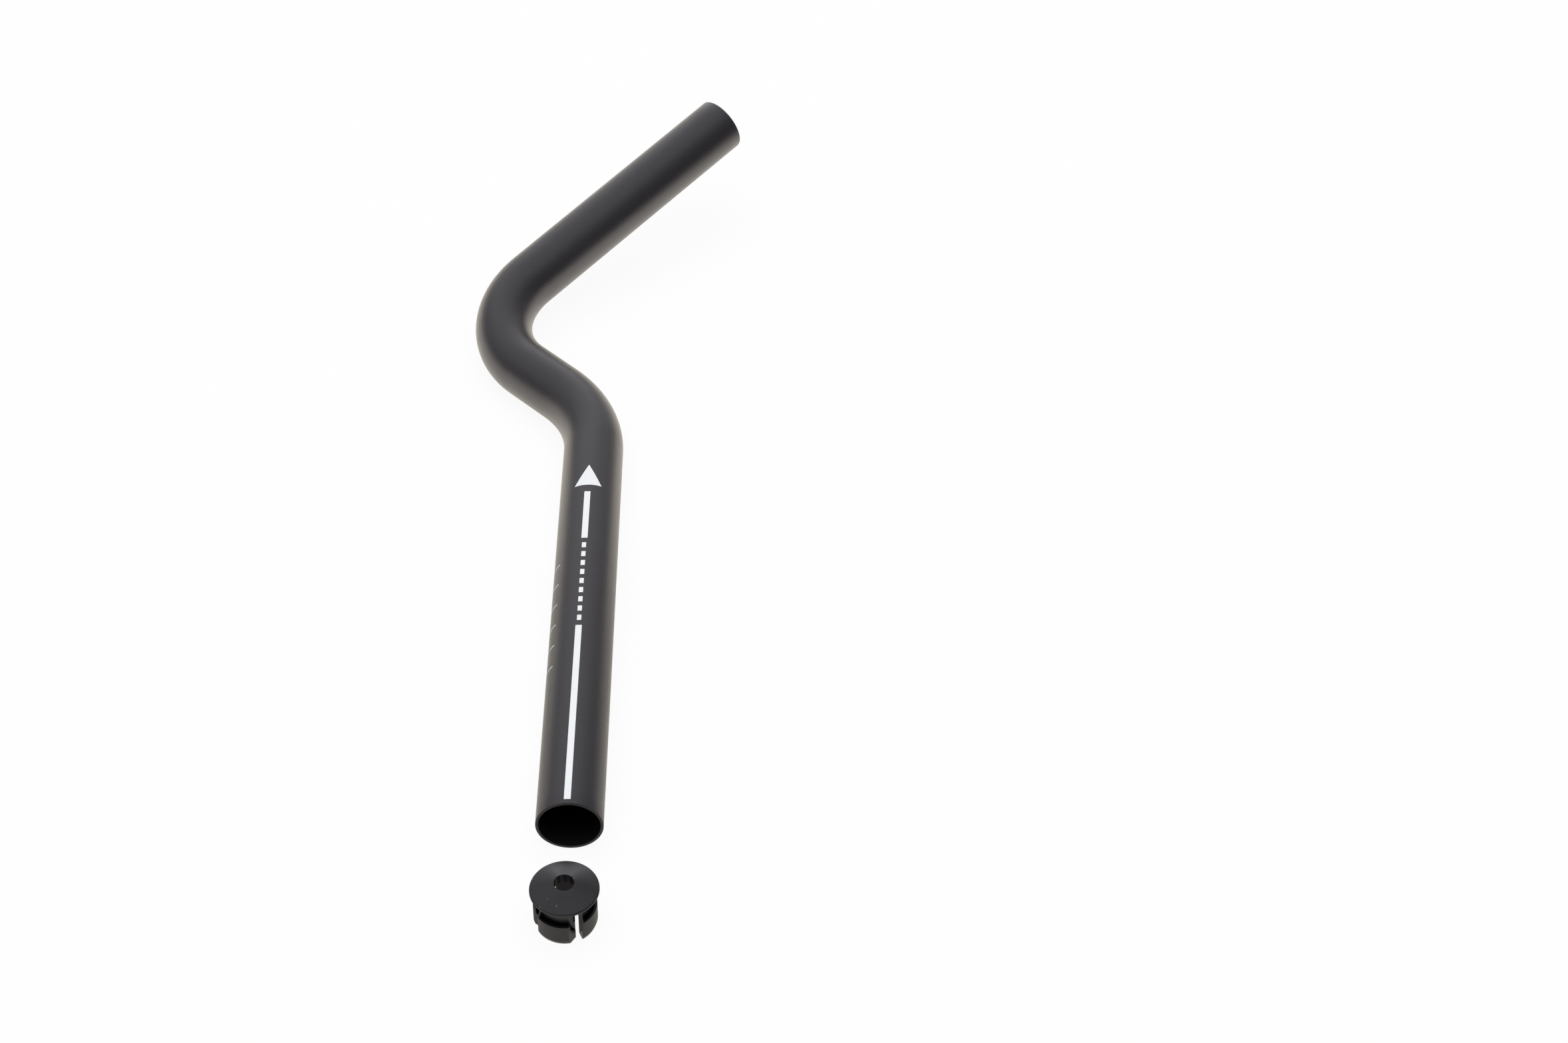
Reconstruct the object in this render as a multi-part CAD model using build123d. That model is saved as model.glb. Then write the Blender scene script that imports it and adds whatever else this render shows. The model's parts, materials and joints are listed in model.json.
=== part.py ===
from build123d import *
import os
from math import sqrt

# An aero handlebar extension: one bent tube, and the plug that closes its rear end.
# The plug is out of the tube and stands on its fingers behind the open end.
# Millimetres and degrees. The origin is the centre of the tube's rear end,
# +Y runs forward along the clamp section, +X is to the right and +Z is up.
# The tube lies on its clamp section and its first bend.

# Tube
tube_diameter = 22.2
tube_wall = 1.0
clamp_length = 184.0
first_bend_radius = 48.0
first_bend_angle = 45.0
link_length = 20.0
second_bend_radius = 34.0
second_bend_angle = 90.0
second_bend_roll = 13.0
grip_length = 109.5
tube_edge_round = 0.2

# Plug flange
flange_rim = 0.8
flange_crown = 2.6
flange_edge_round = 0.6
cable_hole_diameter = 6.3
cable_hole_round = 0.25

# Plug core and fingers
plug_depth = 14.8
core_wall = 0.75
collar_height = 6.4
collar_step = 0.75
finger_count = 4
finger_squeeze = 0.1
finger_height = 8.2
finger_thickness = 0.8
finger_gap = 1.65
finger_root_round = 0.5
trough_floor_inside = 3.5
trough_floor_outside = 6.0
lead_in_height = 1.4
lead_in_inset = 0.45
slot_width = 1.55
slot_offset = 0.95
bevel_start = 7.9
bevel_angle = 58.0
rib_thickness = 0.5
rib_lean_height = 2.5

# Where the plug stands
plug_gap = 18.2
plug_turn = 25.0

tube_radius = tube_diameter / 2
bore_radius = tube_radius - tube_wall
floor_level = -tube_radius

flange_radius = tube_radius
cable_hole_radius = cable_hole_diameter / 2
rim_top = plug_depth + flange_rim
crown_top = rim_top + flange_crown

finger_radius = bore_radius + finger_squeeze
finger_inside = finger_radius - finger_thickness
core_radius = finger_inside - finger_gap
core_bore_radius = core_radius - core_wall
collar_radius = core_radius + collar_step
collar_foot = plug_depth - collar_height
slot_near_side = slot_offset - slot_width / 2
slot_far_side = slot_offset + slot_width / 2


def centre_line():
    """The clamp section, a bend to the left, a link, then a rolled bend to the right into the grip."""
    clamp = Line((0, 0, 0), (0, clamp_length, 0))
    first_bend = JernArc(clamp @ 1, clamp % 1, first_bend_radius, first_bend_angle)
    onward = first_bend % 1
    link = Line(first_bend @ 1, first_bend @ 1 + onward * link_length)
    rolled_up = Vector(0, 0, 1).rotate(Axis((0, 0, 0), onward), -second_bend_roll)
    bend_plane = Plane(link @ 1, x_dir=onward, z_dir=rolled_up)
    second_bend = bend_plane * JernArc((0, 0), (1, 0), second_bend_radius, -second_bend_angle)
    grip = Line(second_bend @ 1, second_bend @ 1 + (second_bend % 1) * grip_length)
    return Wire([clamp, first_bend, link, second_bend, grip])


def make_tube():
    """The tube's ring section swept along its centre line, with both ends' edges broken."""
    path = centre_line()
    section = Circle(tube_radius) - Circle(bore_radius)
    tube = sweep(Plane(path @ 0, z_dir=path % 0) * section, path=path)
    end_faces = tube.faces().filter_by(GeomType.PLANE)
    return fillet(end_faces.edges(), tube_edge_round)


def make_flange():
    """A disc as wide as the tube, with a conical crown that rises to a rounded cable hole."""
    profile = Polyline(
        (cable_hole_radius, plug_depth),
        (flange_radius, plug_depth),
        (flange_radius, rim_top),
        (cable_hole_radius, crown_top),
        close=True,
    )
    outline = make_face(profile)
    corners = outline.vertices()
    hole_corner = corners.filter_by_position(Axis.Y, crown_top, crown_top)
    outline = fillet(hole_corner, cable_hole_round)
    rim_corner = outline.vertices().filter_by_position(Axis.Y, rim_top, rim_top)
    outline = fillet(rim_corner, flange_edge_round)
    return revolve(Plane.XZ * outline, Axis.Z)


def make_finger_ring():
    """The collared core and, out from its foot, the band of the fingers, before the slots are cut."""
    profile = Polyline(
        (core_bore_radius, 0),
        (finger_radius - lead_in_inset, 0),
        (finger_radius, lead_in_height),
        (finger_radius, finger_height),
        (finger_inside, finger_height),
        (finger_inside, trough_floor_outside),
        (core_radius, trough_floor_inside),
        (core_radius, collar_foot - collar_step),
        (collar_radius, collar_foot),
        (collar_radius, plug_depth),
        (core_bore_radius, plug_depth),
        close=True,
    )
    outline = make_face(profile)
    root = outline.vertices().filter_by_position(Axis.Y, trough_floor_outside, trough_floor_outside)
    return revolve(Plane.XZ * fillet(root, finger_root_round), Axis.Z)


def make_slot():
    """A straight slot along +X, off the axis. On its near side the finger's end is bevelled back."""
    reach = tube_diameter
    corner = Vector(sqrt(bevel_start**2 - slot_near_side**2), slot_near_side)
    bevel_end = corner + Vector(reach, 0).rotate(Axis.Z, -bevel_angle)
    bevel = make_face(Polyline(corner, bevel_end, (reach, slot_near_side), close=True))
    straight = Pos(reach / 2, slot_offset) * Rectangle(reach, slot_width)
    return extrude(straight + bevel, plug_depth)


def make_rib():
    """A thin wall along a slot's far side, from foot to flange, that holds up the finger's end."""
    profile = Polyline(
        (core_bore_radius, 0),
        (finger_radius - lead_in_inset, 0),
        (finger_radius, lead_in_height),
        (finger_radius, finger_height),
        (finger_inside, finger_height + rib_lean_height),
        (finger_inside, plug_depth),
        (core_bore_radius, plug_depth),
        close=True,
    )
    ring = revolve(Plane.XZ * make_face(profile), Axis.Z)
    reach = tube_diameter
    middle = slot_far_side + rib_thickness / 2
    slab = extrude(Pos(reach / 2, middle) * Rectangle(reach, rib_thickness), plug_depth)
    return ring & slab


def make_end_plug():
    """The flange on its slotted fingers, stood on the floor with a slot turned from straight back."""
    fingers = make_finger_ring()
    slot = make_slot()
    rib = make_rib()
    for number in range(finger_count):
        turn = Rot(0, 0, number * 360 / finger_count)
        fingers = fingers - turn * slot + turn * rib
    plug = make_flange() + fingers
    straight_back = -90
    place = Pos(0, -plug_gap - flange_radius, floor_level)
    return place * Rot(0, 0, straight_back + plug_turn) * plug


os.makedirs("parts", exist_ok=True)
export_step(make_tube(), "parts/tube.step")
export_step(make_end_plug(), "parts/end_plug.step")
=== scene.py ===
import json
from math import cos, pi, radians, sin, tau

import bmesh
import bpy
from mathutils import Matrix, Vector


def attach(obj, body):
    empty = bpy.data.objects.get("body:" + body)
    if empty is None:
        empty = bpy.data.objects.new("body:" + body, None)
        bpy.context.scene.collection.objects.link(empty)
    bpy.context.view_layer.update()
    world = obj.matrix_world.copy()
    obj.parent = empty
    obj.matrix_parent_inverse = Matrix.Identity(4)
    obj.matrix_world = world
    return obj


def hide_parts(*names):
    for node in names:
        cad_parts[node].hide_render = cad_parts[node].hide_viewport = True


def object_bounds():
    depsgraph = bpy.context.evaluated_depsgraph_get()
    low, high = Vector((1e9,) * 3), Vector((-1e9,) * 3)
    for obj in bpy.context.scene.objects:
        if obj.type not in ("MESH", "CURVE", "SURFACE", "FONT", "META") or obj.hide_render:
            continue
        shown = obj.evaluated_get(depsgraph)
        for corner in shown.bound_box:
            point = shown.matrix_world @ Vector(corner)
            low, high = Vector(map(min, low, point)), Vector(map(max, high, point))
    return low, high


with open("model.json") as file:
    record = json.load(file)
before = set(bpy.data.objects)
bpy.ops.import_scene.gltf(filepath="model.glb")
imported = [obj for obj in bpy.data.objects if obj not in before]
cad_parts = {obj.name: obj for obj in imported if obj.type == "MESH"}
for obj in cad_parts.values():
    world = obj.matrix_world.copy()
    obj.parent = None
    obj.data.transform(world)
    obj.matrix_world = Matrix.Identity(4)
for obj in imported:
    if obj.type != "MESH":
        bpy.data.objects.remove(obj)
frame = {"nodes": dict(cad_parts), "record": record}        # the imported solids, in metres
cad_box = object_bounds()
mounts = {mount["name"]: mount for mount in frame["record"]["mounts"]}

MM = 0.001
BODY = "root"

# The tube: a clamp section, a bend to the left, a link, then a rolled bend to the right into the grip
tube_radius = mounts["clamp_section"]["dims"]["r_mm"] * MM
bore_radius = mounts["rear_bore"]["dims"]["r_mm"] * MM
clamp_length = 184.0 * MM
first_bend_radius = 48.0 * MM
first_bend_angle = radians(45.0)
link_length = 20.0 * MM
second_bend_radius = 34.0 * MM
second_bend_angle = radians(90.0)
second_bend_roll = radians(13.0)
grip_length = 109.5 * MM
tube_edge_round = 0.2 * MM

# How finely the tube and the print are divided
tube_segments = 128
straight_step = 6.0 * MM
bend_step = radians(2.5)
round_steps = 4
patch_step = radians(2.0)

# Print on the clamp section: places are forward from the rear end, turns are from the top to the right
ink_height = 0.03 * MM
ink_depth = 0.05 * MM
stripe_turn = radians(-2.2)
stripe_width = 2.2 * MM
long_stripe = (1.8 * MM, 80.8 * MM)
short_stripe = (124.7 * MM, 149.4 * MM)
dash_row = (83.2 * MM, 122.3 * MM)
dash_count = 9
dash_share = 0.56
dash_width = 1.5 * MM
arrow_span = (153.0 * MM, 164.0 * MM)
arrow_width = 10.0 * MM
arrow_corner_share = 0.02
first_tick = 65.0 * MM
tick_pitch = 10.0 * MM
tick_count = 6
tick_turns = (radians(-78.0), radians(-52.0))
tick_width = 0.42 * MM

# Noise and specks: a grain or a cloud is the size of the noise's blobs
noise_detail = 2.0
noise_roughness = 0.6
noise_middle = (0.30, 0.70)
speck_core = 0.5

# Finishes: two tones and two roughnesses across the noise, a bump's strength and depth,
# and the spacing of the dust, the radius of a speck and the share of the places that hold one
anodised_grain = 0.40 * MM
anodised_cloud = 14.0 * MM
anodised_cloud_middle = (0.35, 0.65)
anodised_tones = ((0.0085, 0.0078, 0.0100, 1.0), (0.0165, 0.0152, 0.0190, 1.0))
anodised_roughness = (0.36, 0.39)
anodised_bump = (0.70, 0.10 * MM)
anodised_ior = 1.93
anodised_tint = (0.95, 0.92, 1.0, 1.0)
anodised_coat = 0.55
anodised_coat_roughness = 0.30
anodised_sheen = 0.45
anodised_sheen_roughness = 0.30
anodised_sheen_tint = (1.0, 0.92, 0.76, 1.0)
anodised_dust = (12.0 * MM, 0.22 * MM, 0.25)
anodised_dust_colour = (0.34, 0.33, 0.31, 1.0)

# The tube's inside: darker tones that paint its shade; the cut ends take them too
bore_grain = 0.60 * MM
bore_painted_shade_tones = ((0.0050, 0.0047, 0.0056, 1.0), (0.0080, 0.0075, 0.0088, 1.0))
bore_roughness = (0.36, 0.44)
bore_bump = (0.12, 0.05 * MM)
bore_ior = 1.8

plastic_grain = 0.30 * MM
plastic_cloud = 4.0 * MM
plastic_tones = ((0.0072, 0.0067, 0.0080, 1.0), (0.0104, 0.0098, 0.0116, 1.0))
plastic_roughness = (0.27, 0.34)
plastic_bump = (0.08, 0.04 * MM)
plastic_edge = 0.16 * MM
plastic_edge_samples = 6
plastic_ior = 1.82
plastic_tint = (0.94, 0.92, 1.0, 1.0)
plastic_dust = (2.6 * MM, 0.26 * MM, 0.30)
plastic_dust_colour = (0.16, 0.155, 0.15, 1.0)

print_grain = 0.45 * MM
print_cloud = 5.0 * MM
print_tones = ((0.875, 0.895, 0.93, 1.0), (0.905, 0.92, 0.95, 1.0))
print_roughness = (0.42, 0.52)
print_bump = (0.10, 0.05 * MM)

# Camera: where it stands, and how far it looks down, to the right and rolls
camera_place = Vector((48.788, -545.838, 638.509)) * MM
camera_pitch = radians(42.685)
camera_heading = radians(1.855)
camera_roll = radians(1.739)
camera_lens = 59.083
camera_sensor = 36.0

# Floor: white paper, evenly white to the camera. Its reflection has a painted warm tint, and painted shade
# fades it to the right, towards the rear and inside the plug
floor_size = 24.0
floor_drop = 0.05 * MM
paper_matte = 0.9
paper_share = 0.93
# Painted reflection tint: the paper looks warm only in reflections
painted_reflection_warmth = (1.0, 0.94, 0.84, 1.0)
# Painted shade: the paper's reflection dims to the right and towards the rear
painted_shade_right_span = (80.0 * MM, 260.0 * MM)
painted_shade_right = 0.15
painted_shade_near_span = (90.0 * MM, 240.0 * MM)
painted_shade_near = 0.44
# Painted shadow: the paper's reflection dims inside the hollow plug
painted_plug_shadow_radius = 6.6 * MM
painted_plug_shadow = 0.4

# Lamps
lamp_place = Vector((0.0, 0.17, 2.0))
lamp_size = 2.2
lamp_power = 37.5
softbox_place = Vector((0.0, 1.05, 0.42))
softbox_size = (1.4, 0.75)
softbox_light = 0.26

# Studio sky, where 1 is white: an even part, a lean up and to the left,
# a ceiling, a bright front and a low window
sky_level = 0.078
sky_lean = (-0.035, 0.0, 0.13)
ceiling_light = 0.195
ceiling_towards = (-0.25, 0.10, 0.96)
ceiling_reach = (0.50, 0.85)
front_light = 0.104
front_reach = (-0.26, 0.96)
window_light = 0.95
window_towards = (-0.030, 0.984, 0.178)
window_spread = (cos(radians(20.0)), cos(radians(7.0)))

# The colour sockets of a mix node, which share their names with its other sockets
mix_factor = 0
mix_first = 6
mix_second = 7
mix_result = 2


def add_node(tree, kind, settings=None, inputs=None):
    """A new node with its settings and inputs; an input is a plain value or another node's output."""
    made = tree.nodes.new(kind)
    for name, value in (settings or {}).items():
        setattr(made, name, value)
    for name, value in (inputs or {}).items():
        if isinstance(value, bpy.types.NodeSocket):
            tree.links.new(value, made.inputs[name])
        else:
            made.inputs[name].default_value = value
    return made


def grey(value):
    return (value, value, value, 1.0)


def empty_material(name):
    """A material with only its output node, its node tree and that node."""
    material = bpy.data.materials.new(name)
    material.use_nodes = True
    tree = material.node_tree
    tree.nodes.clear()
    output = tree.nodes.new("ShaderNodeOutputMaterial")
    return material, tree, output


def object_place(tree):
    """Places on the object, in metres."""
    return add_node(tree, "ShaderNodeTexCoord").outputs["Object"]


def noise(tree, place, grain):
    """Noise whose blobs are about one grain across."""
    settings = {"noise_dimensions": "3D"}
    inputs = {"Vector": place, "Scale": 1.0 / grain, "Detail": noise_detail, "Roughness": noise_roughness}
    return add_node(tree, "ShaderNodeTexNoise", settings, inputs).outputs["Fac"]


def tones(tree, factor, colours):
    """The first colour where the noise is low, the second where it is high, and a ramp between them."""
    made = add_node(tree, "ShaderNodeValToRGB", None, {"Fac": factor})
    for element, position, colour in zip(made.color_ramp.elements, noise_middle, colours):
        element.position = position
        element.color = colour
    return made.outputs["Color"]


def map_range(tree, value, low, high, to_low, to_high, shape="LINEAR"):
    """A value between low and high carried over to between to_low and to_high, and held there."""
    settings = {"clamp": True, "interpolation_type": shape}
    inputs = {"Value": value, "From Min": low, "From Max": high, "To Min": to_low, "To Max": to_high}
    return add_node(tree, "ShaderNodeMapRange", settings, inputs).outputs["Result"]


def dot(tree, vector, axis):
    """How far a vector reaches along an axis."""
    settings = {"operation": "DOT_PRODUCT"}
    return add_node(tree, "ShaderNodeVectorMath", settings, {0: vector, 1: axis}).outputs["Value"]


def combine(tree, operation, first, second):
    """One number from two, by a plain operation."""
    return add_node(tree, "ShaderNodeMath", {"operation": operation}, {0: first, 1: second}).outputs[0]


def mix_colour(tree, factor, first, second):
    """The first colour where the factor is 0, the second where it is 1."""
    inputs = {mix_factor: factor, mix_first: first, mix_second: second}
    return add_node(tree, "ShaderNodeMix", {"data_type": "RGBA"}, inputs).outputs[mix_result]


def dust(tree, place, spacing, size, share):
    """1 inside a few small specks, 0 elsewhere: a share of the cells of that spacing hold one speck."""
    settings = {"feature": "F1", "voronoi_dimensions": "3D"}
    cells = add_node(tree, "ShaderNodeTexVoronoi", settings, {"Vector": place, "Scale": 1.0 / spacing})
    reach = size / spacing
    near = map_range(tree, cells.outputs["Distance"], speck_core * reach, reach, 1.0, 0.0)
    pick = add_node(tree, "ShaderNodeSeparateColor", None, {"Color": cells.outputs["Color"]}).outputs["Red"]
    return combine(tree, "MULTIPLY", near, combine(tree, "LESS_THAN", pick, share))


def bumped(tree, height, strength, depth, **more_inputs):
    """The normal of a surface that the height raises by up to the depth."""
    inputs = {"Strength": strength, "Distance": depth, "Height": height, **more_inputs}
    return add_node(tree, "ShaderNodeBump", None, inputs).outputs["Normal"]


def add_shader(tree, output, inputs):
    """A principled shader with these inputs, as the material's surface."""
    shader = add_node(tree, "ShaderNodeBsdfPrincipled", None, inputs)
    tree.links.new(shader.outputs["BSDF"], output.inputs["Surface"])


def anodised_material():
    """Black anodising on a bead-blasted tube: a fine even grain under a clear film, with a little dust."""
    material, tree, output = empty_material("black_anodised")
    place = object_place(tree)
    grain = noise(tree, place, anodised_grain)
    cloud = noise(tree, place, anodised_cloud)
    tone = tones(tree, grain, anodised_tones)
    specks = dust(tree, place, *anodised_dust)
    normal = bumped(tree, grain, *anodised_bump)
    add_shader(tree, output, {
        "Base Color": mix_colour(tree, specks, tone, anodised_dust_colour),
        "Roughness": map_range(tree, cloud, *anodised_cloud_middle, *anodised_roughness),
        "Normal": normal,
        "IOR": anodised_ior,
        "Specular Tint": anodised_tint,
        "Coat Weight": anodised_coat,
        "Coat Roughness": anodised_coat_roughness,
        "Coat Normal": normal,
        "Sheen Weight": anodised_sheen,
        "Sheen Roughness": anodised_sheen_roughness,
        "Sheen Tint": anodised_sheen_tint,
    })
    return material


def bore_shade_material():
    """The tube's inside and its cut ends: darker tones that paint the shade inside the bore, and less
    grainy.
    """
    material, tree, output = empty_material("black_bore_painted_shade")
    grain = noise(tree, object_place(tree), bore_grain)
    add_shader(tree, output, {
        # Painted shade: darker tones inside the bore and on the cut ends
        "Base Color": tones(tree, grain, bore_painted_shade_tones),
        "Roughness": map_range(tree, grain, *noise_middle, *bore_roughness),
        "Normal": bumped(tree, grain, *bore_bump),
        "IOR": bore_ior,
    })
    return material


def plastic_material():
    """Satin black moulded plastic with softened edges, faint flow clouds and a few dust specks."""
    material, tree, output = empty_material("black_plastic")
    place = object_place(tree)
    grain = noise(tree, place, plastic_grain)
    cloud = noise(tree, place, plastic_cloud)
    tone = tones(tree, cloud, plastic_tones)
    specks = dust(tree, place, *plastic_dust)
    edge = add_node(tree, "ShaderNodeBevel", {"samples": plastic_edge_samples}, {"Radius": plastic_edge})
    add_shader(tree, output, {
        "Base Color": mix_colour(tree, specks, tone, plastic_dust_colour),
        "Roughness": map_range(tree, cloud, *noise_middle, *plastic_roughness),
        "Normal": bumped(tree, grain, *plastic_bump, Normal=edge.outputs["Normal"]),
        "IOR": plastic_ior,
        "Specular Tint": plastic_tint,
    })
    return material


def print_material():
    """White screen print: an opaque ink with a faint unevenness that takes the tube's grain."""
    material, tree, output = empty_material("white_print")
    place = object_place(tree)
    grain = noise(tree, place, print_grain)
    cloud = noise(tree, place, print_cloud)
    add_shader(tree, output, {
        "Base Color": tones(tree, cloud, print_tones),
        "Roughness": map_range(tree, grain, *noise_middle, *print_roughness),
        "Normal": bumped(tree, grain, *print_bump),
    })
    return material


def add_piece(name, mesh):
    """A new object in the scene with this mesh."""
    piece = bpy.data.objects.new(name, mesh)
    bpy.context.collection.objects.link(piece)
    return piece


def bend(place, side, radius, angle):
    """A placement carried round a bend towards a side, which is square to its forward +Y."""
    pivot = Matrix.Translation(side * radius)
    turn = Matrix.Rotation(angle, 4, Vector((0, 1, 0)).cross(side))
    return place @ pivot @ turn @ pivot.inverted()


def centre_line():
    """Placements along the tube, from its rear end to its grip end, each with its +Y forward."""
    places = [Matrix.Identity(4)]

    def run_straight(length):
        start = places[-1]
        steps = max(1, round(length / straight_step))
        for number in range(1, steps + 1):
            places.append(start @ Matrix.Translation((0, length * number / steps, 0)))

    def run_bend(side, radius, angle):
        start = places[-1]
        steps = round(angle / bend_step)
        for number in range(1, steps + 1):
            places.append(bend(start, side, radius, angle * number / steps))

    run_straight(clamp_length)
    run_bend(Vector((-1, 0, 0)), first_bend_radius, first_bend_angle)
    run_straight(link_length)
    rolled_right = Vector((cos(second_bend_roll), 0, sin(second_bend_roll)))
    run_bend(rolled_right, second_bend_radius, second_bend_angle)
    run_straight(grip_length)
    return places


def end_rings(place, forward):
    """One end of the tube, with both its edges rounded, as rings from the outside to the bore."""
    rings = []
    for radius, outward in ((tube_radius, 1), (bore_radius, -1)):
        arc = []
        for number in range(round_steps + 1):
            turn = pi / 2 * number / round_steps
            back = tube_edge_round * (1 - sin(turn))
            inset = tube_edge_round * (1 - cos(turn))
            arc.append((place @ Matrix.Translation((0, -forward * back, 0)), radius - outward * inset))
        rings += arc if outward > 0 else arc[::-1]
    return rings


def tube_rings():
    """The tube's skin as rings in order: the rear end, the outside forward, the grip end, the bore back."""
    places = centre_line()
    inner_places = places[1:-1]
    rear_end = end_rings(places[0], -1)[::-1]
    outside = [(place, tube_radius) for place in inner_places]
    grip_end = end_rings(places[-1], 1)
    bore = [(place, bore_radius) for place in inner_places]
    return rear_end + outside + grip_end + bore[::-1]


def make_tube():
    """A fine swept mesh with the form of the solid. Its bore and cut ends take its second material, whose
    darker tones paint the bore's shade.
    """
    mesh = bpy.data.meshes.new("tube_skin")
    shape = bmesh.new()
    turns = [tau * number / tube_segments for number in range(tube_segments)]
    rings = []
    for place, radius in tube_rings():
        corners = [shape.verts.new(place @ Vector((radius * sin(t), 0, radius * cos(t)))) for t in turns]
        rings.append((radius, corners))
    outside_from = tube_radius - tube_edge_round / 2
    for (radius, ring), (next_radius, following) in zip(rings, rings[1:] + rings[:1]):
        inside = max(radius, next_radius) < outside_from
        for number in range(tube_segments):
            beside = (number + 1) % tube_segments
            face = shape.faces.new((ring[number], following[number], following[beside], ring[beside]))
            face.material_index = int(inside)
    bmesh.ops.recalc_face_normals(shape, faces=shape.faces)
    shape.to_mesh(mesh)
    shape.free()
    mesh.shade_smooth()
    return add_piece("tube_skin", mesh)


def add_patch(shape, columns):
    """A thin closed film on the clamp section. Each column is (turn, nearest place, farthest place)."""
    layers = []
    for radius in (tube_radius + ink_height, tube_radius - ink_depth):
        layer = []
        for turn, near, far in columns:
            across = radius * sin(turn)
            up = radius * cos(turn)
            layer.append((shape.verts.new((across, near, up)), shape.verts.new((across, far, up))))
        layers.append(layer)
    top, bottom = layers
    for number in range(len(columns) - 1):
        for layer in (top, bottom):
            near, far = layer[number]
            next_near, next_far = layer[number + 1]
            shape.faces.new((near, next_near, next_far, far))
        for end in (0, 1):
            upper = (top[number][end], top[number + 1][end])
            lower = (bottom[number + 1][end], bottom[number][end])
            shape.faces.new(upper + lower)
    for number in (0, -1):
        shape.faces.new((top[number][0], top[number][1], bottom[number][1], bottom[number][0]))


def spread(first, last, step):
    """Even values from first to last, about a step apart."""
    count = max(1, round(abs(last - first) / step))
    return [first + (last - first) * number / count for number in range(count + 1)]


def add_bar(shape, turn, width, near, far):
    """A straight printed bar, as wide as said round the tube."""
    half = width / 2 / tube_radius
    add_patch(shape, [(t, near, far) for t in spread(turn - half, turn + half, patch_step)])


def print_piece(name, shape):
    """The film drawn so far, as a piece of its own."""
    mesh = bpy.data.meshes.new(name)
    bmesh.ops.recalc_face_normals(shape, faces=shape.faces)
    shape.to_mesh(mesh)
    shape.free()
    return add_piece(name, mesh)


def make_stripes():
    """A long and a short stripe along the top."""
    pieces = []
    for name, (near, far) in (("long_stripe", long_stripe), ("short_stripe", short_stripe)):
        shape = bmesh.new()
        add_bar(shape, stripe_turn, stripe_width, near, far)
        pieces.append(print_piece(name, shape))
    return pieces


def make_dashes():
    """A row of plain dashes between the two stripes."""
    shape = bmesh.new()
    start, end = dash_row
    pitch = (end - start) / (dash_count - 1 + dash_share)
    for number in range(dash_count):
        near = start + number * pitch
        add_bar(shape, stripe_turn, dash_width, near, near + pitch * dash_share)
    return print_piece("stripe_dashes", shape)


def make_arrow():
    """A plain solid arrowhead that points forward, beyond the short stripe."""
    shape = bmesh.new()
    near, tip = arrow_span
    half = arrow_width / 2 / tube_radius
    columns = []
    for turn in spread(-half, half, patch_step):
        share = max(1 - abs(turn) / half, arrow_corner_share)
        columns.append((stripe_turn + turn, near, near + share * (tip - near)))
    add_patch(shape, columns)
    return print_piece("arrow_mark", shape)


def make_ticks():
    """Fine scale ticks on the left flank, one every ten millimetres."""
    shape = bmesh.new()
    for number in range(tick_count):
        near = first_tick + number * tick_pitch - tick_width / 2
        add_patch(shape, [(t, near, near + tick_width) for t in spread(*tick_turns, patch_step)])
    return print_piece("scale_ticks", shape)


def floor_material():
    """White paper, white to the camera and with a painted warm tint in reflections, that keeps a trace of
    the shadow.
    Painted shade fades its reflection to the right and towards the rear, and a painted shadow dims it
    inside the hollow plug."""
    material, tree, output = empty_material("white_floor")
    path = add_node(tree, "ShaderNodeLightPath")
    camera = path.outputs["Is Camera Ray"]
    mirrored = combine(tree, "MAXIMUM", path.outputs["Is Glossy Ray"], path.outputs["Is Transmission Ray"])
    share = combine(tree, "MULTIPLY", combine(tree, "MAXIMUM", camera, mirrored), paper_share)
    place = object_place(tree)
    # Painted shade: the reflection dims to the right and towards the rear
    right = map_range(tree, dot(tree, place, (1, 0, 0)), *painted_shade_right_span, 1.0, painted_shade_right, "SMOOTHSTEP")
    near = map_range(tree, dot(tree, place, (0, 1, 0)), *painted_shade_near_span, painted_shade_near, 1.0, "SMOOTHSTEP")
    plug_place = mounts["cable_hole"]["pos_m"]
    under_plug = (plug_place[0], plug_place[1], cad_box[0][2])
    settings = {"operation": "DISTANCE"}
    apart = add_node(tree, "ShaderNodeVectorMath", settings, {0: place, 1: under_plug}).outputs["Value"]
    # Painted shadow: the reflection dims inside the hollow plug
    outside = combine(tree, "GREATER_THAN", apart, painted_plug_shadow_radius)
    under = combine(tree, "MAXIMUM", outside, painted_plug_shadow)
    reflection_with_painted_shade = combine(tree, "MULTIPLY", combine(tree, "MULTIPLY", right, near), under)
    strength = combine(tree, "MAXIMUM", camera, reflection_with_painted_shade)
    # Painted reflection tint: warm in reflections, white to the camera
    colour = mix_colour(tree, camera, painted_reflection_warmth, grey(1.0))
    matte = add_node(tree, "ShaderNodeBsdfDiffuse", None, {"Color": grey(paper_matte)})
    white = add_node(tree, "ShaderNodeEmission", None, {"Color": colour, "Strength": strength})
    both = add_node(tree, "ShaderNodeMixShader", None, {0: share, 1: matte.outputs[0], 2: white.outputs[0]})
    tree.links.new(both.outputs[0], output.inputs["Surface"])
    return material


def make_floor():
    """A wide floor just under the object."""
    mesh = bpy.data.meshes.new("floor")
    shape = bmesh.new()
    level = cad_box[0][2] - floor_drop
    half = floor_size / 2
    corners = [(-half, -half), (half, -half), (half, half), (-half, half)]
    shape.faces.new([shape.verts.new((x, y, level)) for x, y in corners])
    shape.to_mesh(mesh)
    shape.free()
    floor = add_piece("floor", mesh)
    floor.data.materials.append(floor_material())


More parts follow.
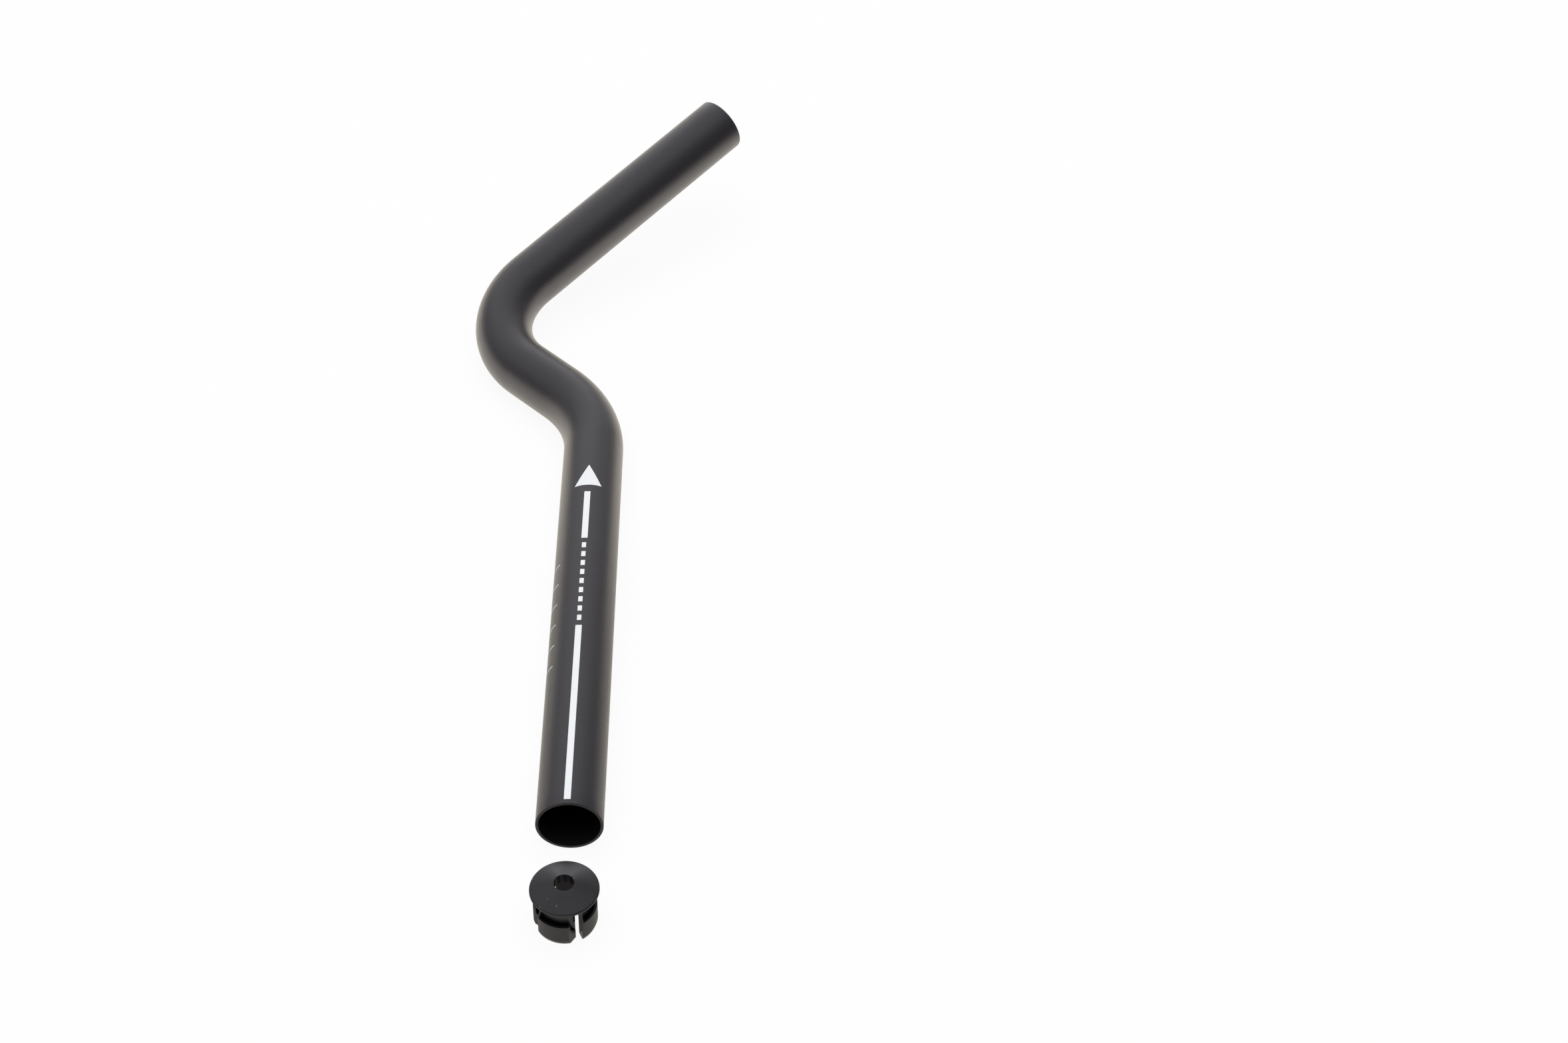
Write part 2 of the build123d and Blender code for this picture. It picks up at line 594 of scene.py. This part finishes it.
def make_world():
    """A soft studio: bright ahead with a low window, pale overhead and dark behind the camera."""
    world = bpy.data.worlds.new("studio")
    bpy.context.scene.world = world
    world.use_nodes = True
    tree = world.node_tree
    tree.nodes.clear()
    output = tree.nodes.new("ShaderNodeOutputWorld")
    direction = add_node(tree, "ShaderNodeTexCoord").outputs["Generated"]
    lean = combine(tree, "ADD", dot(tree, direction, sky_lean), sky_level)
    ahead = dot(tree, direction, (0, 1, 0))
    front = map_range(tree, ahead, *front_reach, 0.0, front_light, "SMOOTHSTEP")
    overhead = dot(tree, direction, ceiling_towards)
    ceiling = map_range(tree, overhead, *ceiling_reach, 0.0, ceiling_light, "SMOOTHSTEP")
    soft = combine(tree, "ADD", combine(tree, "ADD", lean, front), ceiling)
    facing = dot(tree, direction, window_towards)
    window = map_range(tree, facing, *window_spread, 0.0, window_light, "SMOOTHSTEP")
    light = combine(tree, "ADD", combine(tree, "MAXIMUM", soft, 0.0), window)
    background = add_node(tree, "ShaderNodeBackground", None, {"Color": grey(1.0), "Strength": light})
    tree.links.new(background.outputs[0], output.inputs["Surface"])


def make_lamp():
    """A broad soft lamp straight overhead. It adds no highlight of its own."""
    light = bpy.data.lights.new("overhead", "AREA")
    light.shape = "SQUARE"
    light.size = lamp_size
    light.energy = lamp_power
    lamp = bpy.data.objects.new("overhead", light)
    lamp.location = lamp_place
    lamp.visible_glossy = False
    bpy.context.collection.objects.link(lamp)


def make_softbox():
    """A wide upright soft box ahead of the object, which the tube and the plug mirror."""
    light = bpy.data.lights.new("softbox", "AREA")
    light.shape = "RECTANGLE"
    light.size, light.size_y = softbox_size
    light.energy = softbox_light * pi * softbox_size[0] * softbox_size[1]
    box = bpy.data.objects.new("softbox", light)
    box.location = softbox_place
    box.rotation_euler = (-pi / 2, 0, 0)
    box.visible_camera = False
    bpy.context.collection.objects.link(box)


def make_camera():
    """A camera behind and above the clamp section, which looks forward and down."""
    data = bpy.data.cameras.new("camera")
    data.sensor_fit = "HORIZONTAL"
    data.sensor_width = camera_sensor
    data.lens = camera_lens
    camera = bpy.data.objects.new("camera", data)
    aim = Matrix.Rotation(-camera_heading, 4, "Z") @ Matrix.Rotation(pi / 2 - camera_pitch, 4, "X")
    camera.matrix_world = Matrix.Translation(camera_place) @ aim @ Matrix.Rotation(camera_roll, 4, "Z")
    bpy.context.collection.objects.link(camera)
    bpy.context.scene.camera = camera


def dress(piece, slot, *materials):
    """Gives a piece its materials. Its slot argument is not used."""
    for material in materials:
        piece.data.materials.append(material)


tube = make_tube()
dress(tube, "black_anodised", anodised_material(), bore_shade_material())
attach(tube, BODY)
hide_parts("tube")

plug = frame["nodes"]["end_plug"]
plug.data.materials.clear()
plug.data.materials.append(plastic_material())

ink = print_material()
for mark in make_stripes() + [make_dashes(), make_arrow(), make_ticks()]:
    dress(mark, "white_print", ink)
    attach(mark, BODY)

make_floor()
make_world()
make_lamp()
make_softbox()
make_camera()
bpy.context.scene.view_settings.view_transform = "Standard"
